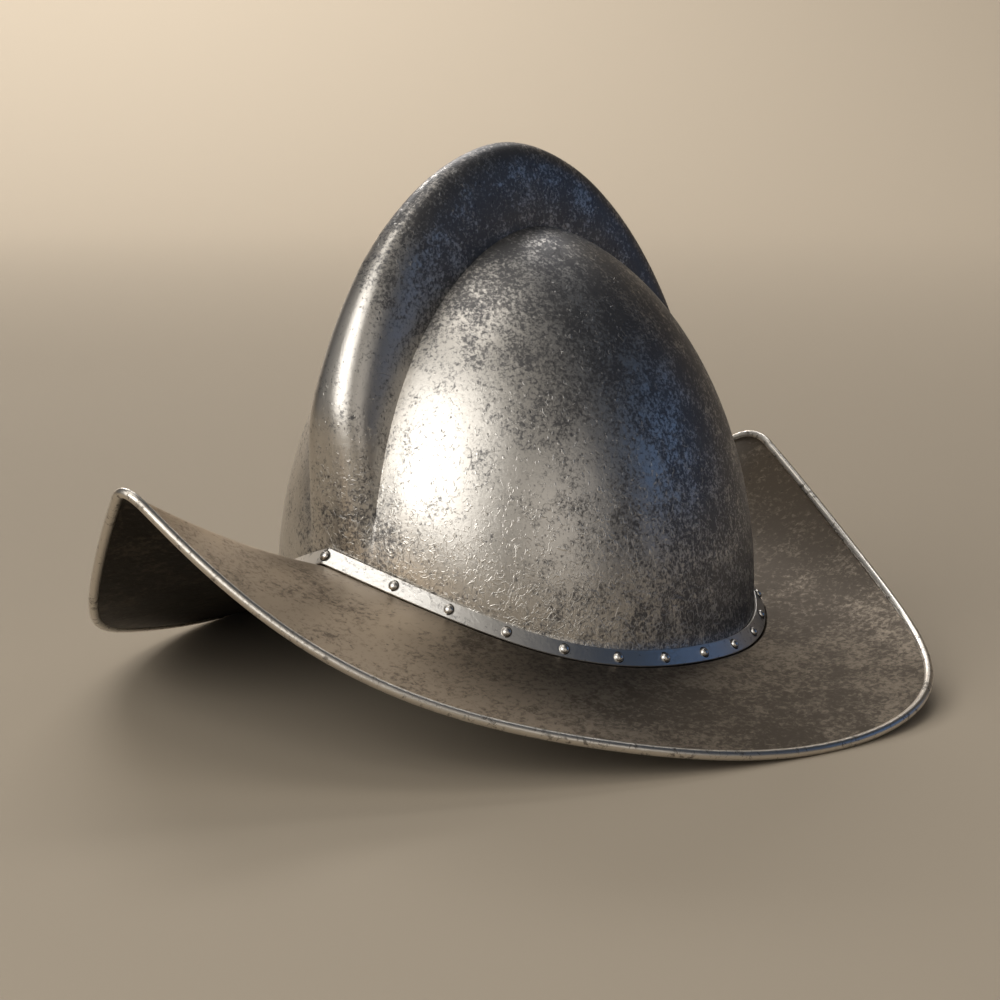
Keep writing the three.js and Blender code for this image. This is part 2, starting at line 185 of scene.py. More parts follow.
# Meshes
def make_object(name, points, faces, material, node, sharp=40, inside=None):
    mesh = bpy.data.meshes.new(name)
    mesh.from_pydata([tuple(p / 1000) for p in points], [], faces)
    mesh.validate()
    mesh.polygons.foreach_set("use_smooth", [True] * len(mesh.polygons))
    mesh.set_sharp_from_angle(angle=math.radians(sharp))
    mesh.update()
    made = bpy.data.objects.new(name, mesh)
    bpy.context.scene.collection.objects.link(made)
    made.data.materials.append(material)
    if inside:
        other, test = inside
        made.data.materials.append(other)
        choice = [int(test(i)) for i in range(len(mesh.polygons))]
        mesh.polygons.foreach_set("material_index", choice)
    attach(made, "root")
    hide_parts(node)
    return made


def outward(points, faces):
    # Signed volume by fans, so that a shell made inside out is turned
    total = 0.0
    for face in faces:
        for k in range(1, len(face) - 1):
            total += np.dot(points[face[0]], np.cross(points[face[k]], points[face[k + 1]]))
    return faces if total > 0 else [face[::-1] for face in faces]


def around(section, steps=RING_STEPS):
    near = [section(u_at(i / steps)) for i in range(steps + 1)]
    far = [[mirror(p) for p in loop] for loop in near[-2:0:-1]]
    return near + far


def loop_shell(loops):
    rows = len(loops[0])
    count = len(loops)
    points = [p for loop in loops for p in loop]
    faces = []
    for i in range(count):
        after = (i + 1) % count
        for j in range(rows):
            over = (j + 1) % rows
            faces.append((i * rows + j, after * rows + j, after * rows + over, i * rows + over))
    return points, outward(points, faces)


# Band: a flat strap with eased corners
def band_section(u):
    ease = 0.22
    corners = [
        (-BAND_HALF, ease), (-BAND_HALF + ease, 0), (BAND_HALF - ease, 0), (BAND_HALF, ease),
        (BAND_HALF, BAND_THICKNESS), (-BAND_HALF, BAND_THICKNESS),
    ]
    return [foot_point(u, along, deep) for along, deep in corners]


# Brim: middle surface from the flange round its bend and out to the bead
def sheet_root(u):
    lip = GAP + BRIM_SHEET / 2
    return foot_point(u, BAND_HALF, 0) + ring_normal(u) * lip + vec(0, 0, -lip - 0.1)


def sheet_point(u, share):
    sag = 4 * PEAK_SAG * u**4 * share * (1 - share)
    return lerp(sheet_root(u), edge_point(u), share) - vec(0, 0, sag)


def brim_middle(u):
    flange = FLANGE_DEPTH + BRIM_SHEET / 2
    line = [foot_point(u, -BAND_HALF, flange), foot_point(u, BAND_HALF + GAP + BRIM_SHEET / 2, flange)]
    shares = [0, 0.012, 0.03, 0.06] + [0.1 * k for k in range(1, 10)] + [0.95, 0.985]
    return line + [sheet_point(u, share) for share in shares]


def brim_shell():
    middle = around(brim_middle)
    count = len(middle)
    rows = len(middle[0])
    loops = []
    for i in range(count):
        before = middle[i - 1]
        after = middle[(i + 1) % count]
        top = []
        bottom = []
        for j in range(rows):
            round_way = unit(after[j] - before[j])
            low = middle[i][max(j - 1, 0)]
            high = middle[i][min(j + 1, rows - 1)]
            normal = unit(np.cross(high - low, round_way))
            top.append(middle[i][j] + normal * BRIM_SHEET / 2)
            bottom.append(middle[i][j] - normal * BRIM_SHEET / 2)
        loops.append(top + bottom[::-1])
    return loop_shell(loops)


# Bead: the rolled edge, a round wire with the sheet lapped over it
def bead_section(u):
    t = math.acos(-max(min(u, 1), -1)) / math.pi
    step = BEAD_STEP
    before = mirror(edge_point(u_at(step - t))) if t < step else edge_point(u_at(t - step))
    after = mirror(edge_point(u_at(2 - step - t))) if t > 1 - step else edge_point(u_at(t + step))
    along = unit(after - before)
    centre = edge_point(u)
    inward = sheet_root(u) - centre
    inward = unit(inward - along * np.dot(inward, along))
    across = unit(np.cross(along, inward))
    section = []
    for k in range(BEAD_SIDES):
        angle = 2 * math.pi * k / BEAD_SIDES
        section.append(centre + BEAD_RADIUS * (inward * math.cos(angle) + across * math.sin(angle)))
    return section


# Bowl and comb
BOWL_HALF_WIDTH = RING_HALF_WIDTH - BOWL_INSET
BOWL_HALF_LENGTH = RING_HALF_LENGTH - BOWL_INSET
COMB_CENTRE = vec(0, RING_REAR_SHIFT + COMB_SHIFT, RING_HEIGHT)


def bowl_point(turn, climb):
    spread = max(math.cos(climb), 0) ** (2 / BOWL_CROWN)
    rise = max(math.sin(climb), 0) ** (2 / BOWL_SHOULDER)
    return vec(
        BOWL_HALF_WIDTH * spread * math.cos(turn),
        RING_REAR_SHIFT + BOWL_HALF_LENGTH * spread * math.sin(turn),
        RING_HEIGHT + BOWL_HEIGHT * rise,
    )


def bowl_place(p):
    turn = math.atan2((p[1] - RING_REAR_SHIFT) / BOWL_HALF_LENGTH, p[0] / BOWL_HALF_WIDTH)
    rise = min(max((p[2] - RING_HEIGHT) / BOWL_HEIGHT, 0), 1)
    return turn, math.asin(min(rise ** (BOWL_SHOULDER / 2), 1))


def ray_angle(p):
    return math.atan2(p[2] - COMB_CENTRE[2], COMB_CENTRE[1] - p[1])


# The comb's midline: a centripetal spline through its points
def spline(points, count):
    last = len(points) - 1
    out = []
    for s in range(count + 1):
        place = last * s / count
        i = min(int(place), last - 1)
        w = place - i
        p1 = points[i]
        p2 = points[i + 1]
        p0 = points[i - 1] if i > 0 else 2 * points[0] - points[1]
        p3 = points[i + 2] if i + 2 <= last else 2 * points[-1] - points[-2]
        d0, d1, d2 = (math.sqrt(np.linalg.norm(b - a)) for a, b in ((p0, p1), (p1, p2), (p2, p3)))
        t1 = ((p1 - p0) / d0 - (p2 - p0) / (d0 + d1) + (p2 - p1) / d1) * d1
        t2 = ((p2 - p1) / d1 - (p3 - p1) / (d1 + d2) + (p3 - p2) / d2) * d1
        out.append(p1 + t1 * w + (3 * (p2 - p1) - 2 * t1 - t2) * w**2 + (2 * (p1 - p2) + t1 + t2) * w**3)
    return out


MIDLINE = spline(
    [hem_top(-1)]
    + [COMB_CENTRE + vec(0, a * RING_HALF_LENGTH, b * COMB_HEIGHT) for a, b in COMB_MIDLINE]
    + [hem_top(1)],
    SPLINE_STEPS,
)
MIDLINE_ANGLES = np.maximum.accumulate([ray_angle(p) for p in MIDLINE])
MIDLINE_RADII = np.array([np.linalg.norm(p - COMB_CENTRE) for p in MIDLINE])


def midline_radius(angle):
    return float(np.interp(angle, MIDLINE_ANGLES, MIDLINE_RADII))


def crease_point(angle):
    half = COMB_HALF_TOP + (COMB_HALF_LOW - COMB_HALF_TOP) * math.cos(angle) ** 2

    def at(share):
        spread = math.hypot(share, half / BOWL_HALF_WIDTH)
        rise = max(1 - spread**BOWL_CROWN, 0) ** (1 / BOWL_SHOULDER)
        return vec(half, RING_REAR_SHIFT + share * BOWL_HALF_LENGTH, RING_HEIGHT + rise * BOWL_HEIGHT)

    low, high = -0.99, 0.99
    for _ in range(40):
        middle = (low + high) / 2
        if ray_angle(at(middle)) < angle:
            low = middle
        else:
            high = middle
    return at((low + high) / 2)


def foot_ease(share):
    return max(1 - share, 0) ** 2


def skull_columns():
    front_foot = ray_angle(hem_top(-COMB_FOOT))
    rear_foot = ray_angle(hem_top(COMB_FOOT))
    front_tip = ray_angle(hem_top(-1))
    rear_tip = ray_angle(hem_top(1))
    foot_start = math.acos(COMB_FOOT) / math.pi
    strip = []
    bowl = []
    for j in range(COMB_STEPS + 1):
        share = j / COMB_STEPS
        crease_angle = lerp(front_foot, rear_foot, share)
        tip_angle = lerp(front_tip, rear_tip, share)
        to_front = foot_ease(share / FOOT_SHARE)
        to_rear = foot_ease((1 - share) / FOOT_SHARE)
        crease = crease_point(crease_angle)
        crease_radius = np.linalg.norm(crease * vec(0, 1, 1) - COMB_CENTRE)
        tip_radius = midline_radius(tip_angle)
        across = []
        for k in range(COMB_ACROSS + 1):
            turn = k / COMB_ACROSS * math.pi / 2
            in_share = max(math.cos(turn), 0) ** (2 / COMB_SQUARENESS)
            out_share = math.sin(turn) ** (2 / COMB_SQUARENESS)
            angle = lerp(crease_angle, tip_angle, k / COMB_ACROSS)
            radius = lerp(crease_radius, tip_radius, out_share)
            point = COMB_CENTRE + vec(0, -math.cos(angle), math.sin(angle)) * radius
            point[0] = 0 if k == COMB_ACROSS else crease[0] * in_share
            foot_u = u_at(foot_start * (1 - k / COMB_ACROSS))
            point = lerp(point, hem_top(foot_u), to_front)
            point = lerp(point, hem_top(-foot_u), to_rear)
            across.append(point)
        strip.append(across)
        root = hem_top(u_at(lerp(foot_start, 1 - foot_start, share)))
        low = bowl_place(root)
        high = bowl_place(across[0])
        low_error = root - bowl_point(*low)
        high_error = across[0] - bowl_point(*high)
        column = []
        for v in range(BOWL_ROWS + 1):
            rise = v / BOWL_ROWS
            low_share = (1 - rise) ** 2
            point = bowl_point(lerp(low[0], high[0], rise), lerp(low[1], high[1], rise))
            column.append(point + low_error * low_share + high_error * (1 - low_share))
        bowl.append(column)
    return strip, bowl, foot_start


# The crease between comb and bowl: sharp at the top, soft where it runs out at both feet
def soften(strip, bowl):
    for j in range(1, COMB_STEPS):
        share = j / COMB_STEPS
        low = max(1 - min(share, 1 - share) / VALLEY_SHARE, 0)
        rounds = int(VALLEY_ROUNDS * low**1.5)
        line = np.array(bowl[j] + strip[j][1:])
        middle = BOWL_ROWS
        reach = int(3 + 10 * low)
        first = middle - reach
        last = middle + min(reach, COMB_ACROSS - 2)
        for _ in range(rounds):
            part = line[first : last + 1]
            beside = (line[first - 1 : last] + line[first + 1 : last + 2]) / 2
            line[first : last + 1] = part + 0.5 * (beside - part)
        for v in range(BOWL_ROWS + 1):
            bowl[j][v] = line[v]
        for k in range(COMB_ACROSS + 1):
            strip[j][k] = line[middle + k]
    return strip, bowl


def skull_shell():
    strip, bowl, foot_start = skull_columns()
    strip, bowl = soften(strip, bowl)
    points = []
    keys = {}

    def put(p):
        key = tuple(int(round(value * 1000)) for value in p)
        if key not in keys:
            keys[key] = len(points)
            points.append(p)
        return keys[key]

    def quads(grid, flip):
        faces = []
        for i in range(len(grid) - 1):
            for j in range(len(grid[i]) - 1):
                corners = [grid[i][j], grid[i + 1][j], grid[i + 1][j + 1], grid[i][j + 1]]
                face = []
                for corner in corners:
                    if corner not in face:
                        face.append(corner)
                if len(face) > 2:
                    faces.append(tuple(face[::-1] if flip else face))
        return faces

    outer = []
    for flip in (False, True):
        for grid in (strip, bowl):
            numbered = [[put(mirror(p) if flip else p) for p in row] for row in grid]
            outer += quads(numbered, flip)
    outer = outward(points, outer)

    sums = np.zeros((len(points), 3))
    for face in outer:
        a, b, c = (points[v] for v in face[:3])
        normal = np.cross(b - a, c - a)
        for v in face:
            sums[v] += normal
    inner = [p - unit(sums[i]) * SKULL_WALL for i, p in enumerate(points)]
    base = len(points)

    rim = [u_at(foot_start * (1 - k / COMB_ACROSS)) for k in range(COMB_ACROSS, 0, -1)]
    rim += [u_at(lerp(foot_start, 1 - foot_start, j / COMB_STEPS)) for j in range(COMB_STEPS + 1)]
    rim += [-u_at(foot_start * (1 - k / COMB_ACROSS)) for k in range(1, COMB_ACROSS + 1)]
    every = points + inner
    hem_foot = BAND_HALF - GAP / 2
    drop = SKULL_WALL * math.tan(BAND_FLARE / 2)
    hem = []
    for flip in (False, True):
        rows = []
        side = vec(-1 if flip else 1, 1, 1)
        for u in rim:
            top = put(hem_top(u) * side)
            every[base + top] = foot_point(u, -BAND_HALF - drop, HEM_DEPTH + SKULL_WALL) * side
            every.append(foot_point(u, hem_foot, HEM_DEPTH) * side)
            every.append(foot_point(u, hem_foot, HEM_DEPTH + SKULL_WALL) * side)
            rows.append([top, len(every) - 2, len(every) - 1, base + top])
        hem += quads(rows, not flip)
    faces = outer + [tuple(base + v for v in face[::-1]) for face in outer] + hem
    return every, faces, len(outer)


# Rivets
def rivet_places():
    count = LINE_SAMPLES
    line = [ring_point(u_at(i / count)) for i in range(count + 1)]
    gaps = [np.linalg.norm(b - a) for a, b in zip(line, line[1:])]
    lengths = np.concatenate([[0], np.cumsum(gaps)])
    places = []
    for share in RIVET_SHARES:
        u = u_at(float(np.interp(share * lengths[-1], lengths, np.arange(count + 1) / count)))
        places.append((u, False))
        if 0 < share < 1:
            places.append((u, True))
    return places


def rivet_shell():
    grip = FLANGE_DEPTH + BRIM_SHEET
    tail = -grip - GAP
    profile = [
        (0, tail - RIVET_TAIL_RISE), (0.9, tail + 0.1 - RIVET_TAIL_RISE), (RIVET_TAIL, tail),
        (RIVET_SHANK, tail), (RIVET_SHANK, 0), (RIVET_SEAT, 0.02), (RIVET_SEAT, 0.06),
    ]
    for k in range(DOME_ROWS + 1):
        angle = math.pi / 2 * k / DOME_ROWS
        profile.append((RIVET_DOME * math.cos(angle), 0.07 + RIVET_RISE * math.sin(angle)))
    sides = RIVET_SIDES
    points = []
    faces = []
    rows = []
    for r, h in profile:
        if r < 1e-6:
            rows.append([len(points)] * sides)
            points.append(vec(0, 0, h))
            continue
        rows.append(range(len(points), len(points) + sides))
        for s in range(sides):
            turn = 2 * math.pi * s / sides
            points.append(vec(r * math.cos(turn), r * math.sin(turn), h))
    for low, high in zip(rows, rows[1:]):
        for s in range(sides):
            after = (s + 1) % sides
            faces.append(tuple(dict.fromkeys([low[s], low[after], high[after], high[s]])))
    return points, outward(points, faces)


def is_seat(i):
    # The three rows under the dome, given the near-black material as a painted shadow ring under the
    # rivet head
    return 4 * RIVET_SIDES <= i < 7 * RIVET_SIDES


# Node helpers
def add(tree, kind, inputs=None, **settings):
    made = tree.nodes.new(kind)
    for key, value in settings.items():
        setattr(made, key, value)
    for key, value in (inputs or {}).items():
        if isinstance(value, bpy.types.NodeSocket):
            tree.links.new(value, made.inputs[key])
        else:
            made.inputs[key].default_value = value
    return made


def math_node(tree, operation, a, b=0.0, clamp=False):
    return add(tree, "ShaderNodeMath", {0: a, 1: b}, operation=operation, use_clamp=clamp).outputs[0]


def ramp(tree, value, low, high):
    inputs = {"Value": value, "From Min": low, "From Max": high}
    return add(tree, "ShaderNodeMapRange", inputs, interpolation_type="SMOOTHSTEP").outputs[0]


def noise(tree, vector, scale, detail=4.0, roughness=0.5, distortion=0.0):
    inputs = {"Vector": vector, "Scale": scale, "Detail": detail}
    inputs.update({"Roughness": roughness, "Distortion": distortion})
    return add(tree, "ShaderNodeTexNoise", inputs).outputs[0]


def blend(tree, factor, a, b, mode="MIX"):
    made = add(tree, "ShaderNodeMix", {0: factor, 6: a, 7: b}, data_type="RGBA", blend_type=mode)
    return made.outputs[2]


def group(name, sockets):
    tree = bpy.data.node_groups.new(name, "ShaderNodeTree")
    for label, way, kind, value in sockets:
        socket = tree.interface.new_socket(label, in_out=way, socket_type=kind)
        if value is not None:
            socket.default_value = value
    return tree, tree.nodes.new("NodeGroupInput"), tree.nodes.new("NodeGroupOutput")


FLOAT = "NodeSocketFloat"
VECTOR = "NodeSocketVector"


def plus(tree, a, b):
    return math_node(tree, "ADD", a, b)


def minus(tree, a, b):
    return math_node(tree, "SUBTRACT", a, b)


def times(tree, a, b):
    return math_node(tree, "MULTIPLY", a, b)


# Mottle: patches of dull patina with ragged, fine-grained borders
def mottle_group():
    tree, start, end = group("mottle", [
        ("Vector", "INPUT", VECTOR, None),
        ("Scale", "INPUT", FLOAT, 40.0),
        ("Coverage", "INPUT", FLOAT, 0.5),
        ("Edge", "INPUT", FLOAT, 0.06),
        ("Grain", "INPUT", FLOAT, 360.0),
        ("Mask", "OUTPUT", FLOAT, None),
    ])
    vector = start.outputs["Vector"]
    patches = noise(tree, vector, start.outputs["Scale"], 12.0, 0.7, 0.2)
    grain = noise(tree, vector, start.outputs["Grain"], 7.0, 0.7, 0.5)
    mixed = plus(tree, patches, times(tree, minus(tree, grain, 0.5), 1.5))
    level = plus(tree, mixed, minus(tree, start.outputs["Coverage"], 0.5))
    low = minus(tree, 0.5, start.outputs["Edge"])
    high = plus(tree, 0.5, start.outputs["Edge"])
    tree.links.new(ramp(tree, level, low, high), end.inputs["Mask"])
    return tree


# Scratches: thin curved lines, cut short
def scratch_group():
    tree, start, end = group("scratches", [
        ("Vector", "INPUT", VECTOR, None),
        ("Scale", "INPUT", FLOAT, 60.0),
        ("Width", "INPUT", FLOAT, 0.012),
        ("Amount", "INPUT", FLOAT, 0.4),
        ("Mask", "OUTPUT", FLOAT, None),
    ])
    vector = start.outputs["Vector"]
    field = noise(tree, vector, start.outputs["Scale"], 1.5, 0.4, 1.2)
    line = math_node(tree, "ABSOLUTE", minus(tree, field, 0.5))
    thin = minus(tree, 1.0, ramp(tree, line, 0.0, start.outputs["Width"]))
    cut = noise(tree, vector, times(tree, start.outputs["Scale"], 2.3), 2.0, 0.5)
    threshold = minus(tree, 0.8, times(tree, start.outputs["Amount"], 0.5))
    keep = ramp(tree, cut, threshold, plus(tree, threshold, 0.06))
    tree.links.new(times(tree, thin, keep), end.inputs["Mask"])
    return tree


# Pits: small dark specks
def pit_group():
    tree, start, end = group("pits", [
        ("Vector", "INPUT", VECTOR, None),
        ("Scale", "INPUT", FLOAT, 220.0),
        ("Amount", "INPUT", FLOAT, 0.1),
        ("Mask", "OUTPUT", FLOAT, None),
    ])
    inputs = {"Vector": start.outputs["Vector"], "Scale": start.outputs["Scale"], "Randomness": 1.0}
    cells = add(tree, "ShaderNodeTexVoronoi", inputs)
    near = minus(tree, 1.0, ramp(tree, cells.outputs["Distance"], 0.1, 0.3))
    pick = add(tree, "ShaderNodeSeparateColor", {0: cells.outputs["Color"]}).outputs[0]
    threshold = minus(tree, 1.0, start.outputs["Amount"])
    keep = ramp(tree, pick, threshold, plus(tree, threshold, 0.02))
    tree.links.new(times(tree, near, keep), end.inputs["Mask"])
    return tree


MOTTLE = mottle_group()
SCRATCHES = scratch_group()
PITS = pit_group()


def use(tree, which, inputs, output="Mask"):
    made = tree.nodes.new("ShaderNodeGroup")
    made.node_tree = which
    for key, value in inputs.items():
        if isinstance(value, bpy.types.NodeSocket):
            tree.links.new(value, made.inputs[key])
        else:
            made.inputs[key].default_value = value
    return made.outputs[output]


def new_material(name):
    material = bpy.data.materials.new(name)
    material.use_nodes = True
    tree = material.node_tree
    tree.nodes.clear()
    shader = tree.nodes.new("ShaderNodeBsdfPrincipled")
    output = tree.nodes.new("ShaderNodeOutputMaterial")
    tree.links.new(shader.outputs[0], output.inputs[0])
    shader.inputs["Metallic"].default_value = 1.0
    place = tree.nodes.new("ShaderNodeTexCoord").outputs["Object"]
    return material, tree, shader, place


def stretch(tree, place, scale):
    return add(tree, "ShaderNodeMapping", {"Vector": place, "Scale": scale}).outputs[0]


def axes_of(tree, place):
    return add(tree, "ShaderNodeSeparateXYZ", {0: place}).outputs


def mottle(tree, vector, scale, coverage, edge, grain=360.0):
    inputs = {"Vector": vector, "Scale": scale, "Coverage": coverage, "Edge": edge, "Grain": grain}
    return use(tree, MOTTLE, inputs)


def scratches(tree, vector, scale, width, amount):
    return use(tree, SCRATCHES, {"Vector": vector, "Scale": scale, "Width": width, "Amount": amount})


def pitting(tree, vector, scale, amount):
    return use(tree, PITS, {"Vector": vector, "Scale": scale, "Amount": amount})


def bump_normal(tree, shader, height, strength, distance):
    inputs = {"Strength": strength, "Distance": distance, "Height": height}
    tree.links.new(add(tree, "ShaderNodeBump", inputs).outputs[0], shader.inputs["Normal"])


# Steel of bowl and comb
def skull_material():
    material, tree, shader, place = new_material("skull_steel")
    across, y, z = axes_of(tree, place)
    x = math_node(tree, "ABSOLUTE", across)
    # Patina gathers toward the rear, the crown and the comb's flanks; the front is rubbed bright
    rear = times(tree, ramp(tree, y, -0.085, 0.03), 0.25)
    rear = plus(tree, rear, times(tree, ramp(tree, y, 0.0, 0.07), 0.24))
    foot = times(tree, ramp(tree, x, 0.034, 0.022), ramp(tree, z, 0.12, 0.07))
    rear = plus(tree, rear, times(tree, foot, 0.16))
    crown = times(tree, ramp(tree, z, 0.1, 0.19), 0.1)
    comb = minus(tree, 1.0, ramp(tree, x, 0.014, 0.026))
    flank = times(tree, comb, times(tree, ramp(tree, y, -0.072, -0.03), 0.12))
    clean = times(tree, comb, times(tree, ramp(tree, y, 0.0, 0.04), 0.3))
    flank = minus(tree, flank, clean)
    broad = noise(tree, place, 18.0, 5.0, 0.55, 0.2)
    drift = times(tree, minus(tree, broad, 0.5), 0.4)
    coverage = plus(tree, plus(tree, rear, crown), plus(tree, flank, drift))
    coverage = plus(tree, math_node(tree, "MINIMUM", coverage, 0.38), 0.28)
    dull = mottle(tree, place, 90.0, coverage, 0.17, 700.0)
    bright = blend(tree, broad, (0.7, 0.675, 0.635, 1), (0.56, 0.53, 0.49, 1))
    dark = blend(tree, noise(tree, place, 60.0, 6.0, 0.65), (0.1, 0.105, 0.12, 1), (0.21, 0.2, 0.19, 1))
    colour = blend(tree, dull, bright, dark)
    pits = pitting(tree, stretch(tree, place, (1.0, 1.0, 0.5)), 620.0, 0.1)
    low = minus(tree, 1.0, ramp(tree, z, 0.05, 0.14))
    amount = plus(tree, times(tree, broad, 0.62), times(tree, low, 0.42))
    lines = scratches(tree, place, 150.0, 0.03, amount)
    hairs = scratches(tree, stretch(tree, place, (1.0, 1.0, 0.6)), 300.0, 0.05, amount)
    lines = math_node(tree, "MAXIMUM", lines, times(tree, hairs, 0.8))
    arcs = scratches(tree, place, 38.0, 0.006, 0.42)
    pits = math_node(tree, "MAXIMUM", pits, times(tree, arcs, 0.6))
    colour = blend(tree, times(tree, pits, 0.75), colour, (0.05, 0.05, 0.052, 1))
    colour = blend(tree, times(tree, lines, 0.6), colour, (0.78, 0.76, 0.72, 1))
    tree.links.new(colour, shader.inputs["Base Color"])
    fine = noise(tree, place, 420.0, 4.0, 0.7)
    rough = plus(tree, times(tree, dull, 0.14), 0.29)
    rough = plus(tree, rough, times(tree, fine, 0.1))
    tree.links.new(rough, shader.inputs["Roughness"])
    dents = noise(tree, place, 30.0, 2.0, 0.5)
    wrinkles = noise(tree, place, 190.0, 3.0, 0.6, 1.4)
    height = plus(tree, times(tree, dents, 0.7), times(tree, wrinkles, 0.16))
    height = minus(tree, height, times(tree, pits, 0.07))
    height = plus(tree, height, times(tree, lines, 0.14))
    height = plus(tree, height, times(tree, fine, 0.05))
    bump_normal(tree, shader, height, 0.6, 0.001)
    return material


# The unpolished inside and underside, near-black as painted shade: the shadow under the brim and inside
# the bowl
def inside_material():
    material, tree, shader, place = new_material("painted_shade_black")
    dull = mottle(tree, place, 50.0, 0.6, 0.12)
    colour = blend(tree, dull, (0.075, 0.062, 0.05, 1), (0.03, 0.026, 0.022, 1))
    tree.links.new(colour, shader.inputs["Base Color"])
    fine = noise(tree, place, 350.0, 4.0, 0.7)
    tree.links.new(plus(tree, times(tree, fine, 0.15), 0.48), shader.inputs["Roughness"])
    height = plus(tree, fine, times(tree, noise(tree, place, 40.0), 5.0))
    bump_normal(tree, shader, height, 0.5, 0.0004)
    return material


# Steel of the brim: browner and duller, with streaks along it, and painted light: lighter at the front,
# darker behind
def brim_material():
    material, tree, shader, place = new_material("brim_steel")
    long = stretch(tree, place, (0.8, 0.55, 1.0))
    broad = noise(tree, long, 15.0, 4.0, 0.55, 0.5)
    drift = times(tree, minus(tree, broad, 0.5), 0.6)
    y = axes_of(tree, place)[1]
    rubbed = times(tree, ramp(tree, y, -0.1, 0.0), 0.22)
    coverage = plus(tree, drift, plus(tree, 0.31, rubbed))
    tail = ramp(tree, y, 0.06, 0.15)
    coverage = plus(tree, coverage, times(tree, tail, 0.1))
    dull = mottle(tree, long, 70.0, coverage, 0.2, 640.0)
    light = blend(tree, broad, (0.48, 0.415, 0.335, 1), (0.33, 0.285, 0.235, 1))
    colour = blend(tree, dull, light, (0.16, 0.134, 0.108, 1))
    # Painted light and shade: the brim's colour is raised at the front and cut to about half behind it,
    # standing for how the light falls rather than for the steel
    front = ramp(tree, y, -0.12, -0.045)
    painted_light_falloff = blend(tree, front, (1.08, 1.0, 0.9, 1), (0.48, 0.46, 0.43, 1))
    colour = blend(tree, 1.0, colour, painted_light_falloff, "MULTIPLY")
    pits = pitting(tree, place, 420.0, 0.06)
    colour = blend(tree, times(tree, pits, 0.6), colour, (0.04, 0.035, 0.03, 1))
    tree.links.new(colour, shader.inputs["Base Color"])
    fine = noise(tree, long, 400.0, 4.0, 0.7)
    rough = plus(tree, times(tree, dull, 0.1), 0.36)
    rough = plus(tree, rough, times(tree, fine, 0.1))
    tree.links.new(rough, shader.inputs["Roughness"])
    dents = noise(tree, place, 26.0, 2.0, 0.5)
    height = plus(tree, times(tree, dents, 0.8), times(tree, fine, 0.06))
    height = minus(tree, height, times(tree, pits, 0.08))
    bump_normal(tree, shader, height, 0.5, 0.001)
    return material


# Steel of the trim: rubbed bright, with some dull patches
def trim_material(name, light, dark, cover, roughness):
    material, tree, shader, place = new_material(name)
    dull = mottle(tree, place, 60.0, cover, 0.1)
    colour = blend(tree, dull, light, dark)
    tree.links.new(colour, shader.inputs["Base Color"])
    fine = noise(tree, place, 500.0, 4.0, 0.7)
    rough = plus(tree, times(tree, dull, 0.15), roughness)
    tree.links.new(rough, shader.inputs["Roughness"])
    height = plus(tree, fine, times(tree, noise(tree, place, 90.0), 2.0))
    bump_normal(tree, shader, height, 0.35, 0.0003)
    return material


skull_steel = skull_material()
brim_steel = brim_material()
band_steel = trim_material("band_steel", (0.76, 0.74, 0.71, 1), (0.36, 0.35, 0.34, 1), 0.3, 0.3)
rim_steel = trim_material("rim_steel", (0.68, 0.64, 0.58, 1), (0.24, 0.22, 0.195, 1), 0.35, 0.3)
rivet_steel = trim_material("rivet_steel", (0.62, 0.6, 0.57, 1), (0.3, 0.28, 0.27, 1), 0.3, 0.25)

painted_shade_black = inside_material()

skull_points, skull_faces, outer_count = skull_shell()
brim_points, brim_faces = brim_shell()
brim_rows = len(brim_middle(0)) * 2


def is_inside(i):
    return i >= outer_count


def is_under(i):
    return i % brim_rows >= brim_rows // 2 - 1


# The skull's inside and the brim's underside take the near-black painted shade
make_object(
    "skull_shell", skull_points, skull_faces, skull_steel, "skull", 42,
    (painted_shade_black, is_inside),
)
make_object(
    "brim_shell", brim_points, brim_faces, brim_steel, "brim", 30,
    (painted_shade_black, is_under),
)
band_points, band_faces = loop_shell(around(band_section))
make_object("band_strap", band_points, band_faces, band_steel, "base_band")
bead_points, bead_faces = loop_shell(around(bead_section, BEAD_STEPS))
make_object("rim_bead", bead_points, bead_faces, rim_steel, "rim_roll", sharp=60)
rivet_points, rivet_faces = rivet_shell()
for index, (u, far) in enumerate(rivet_places()):
    number = f"{index + 1:02d}"
    centre = ring_point(u)
    plan = unit(ring_normal(u))
    axis = Vector(plan * math.cos(BAND_FLARE) + vec(0, 0, math.sin(BAND_FLARE)))
    if far:
        centre = mirror(centre)
        axis.x = -axis.x
    turn = np.array(axis.to_track_quat("Z", "Y").to_matrix())
    placed = [turn @ p + centre for p in rivet_points]
    # Each rivet's seat rows carry the painted shadow ring
    make_object(
        f"dome_{number}", placed, rivet_faces, rivet_steel, f"rivet_{number}", 50,
        (painted_shade_black, is_seat),
    )


# Level directions of the room: away from the camera, and to the picture's left
AWAY = Vector((-0.682, 0.731, 0))
LEFT = Vector((-0.731, -0.682, 0))


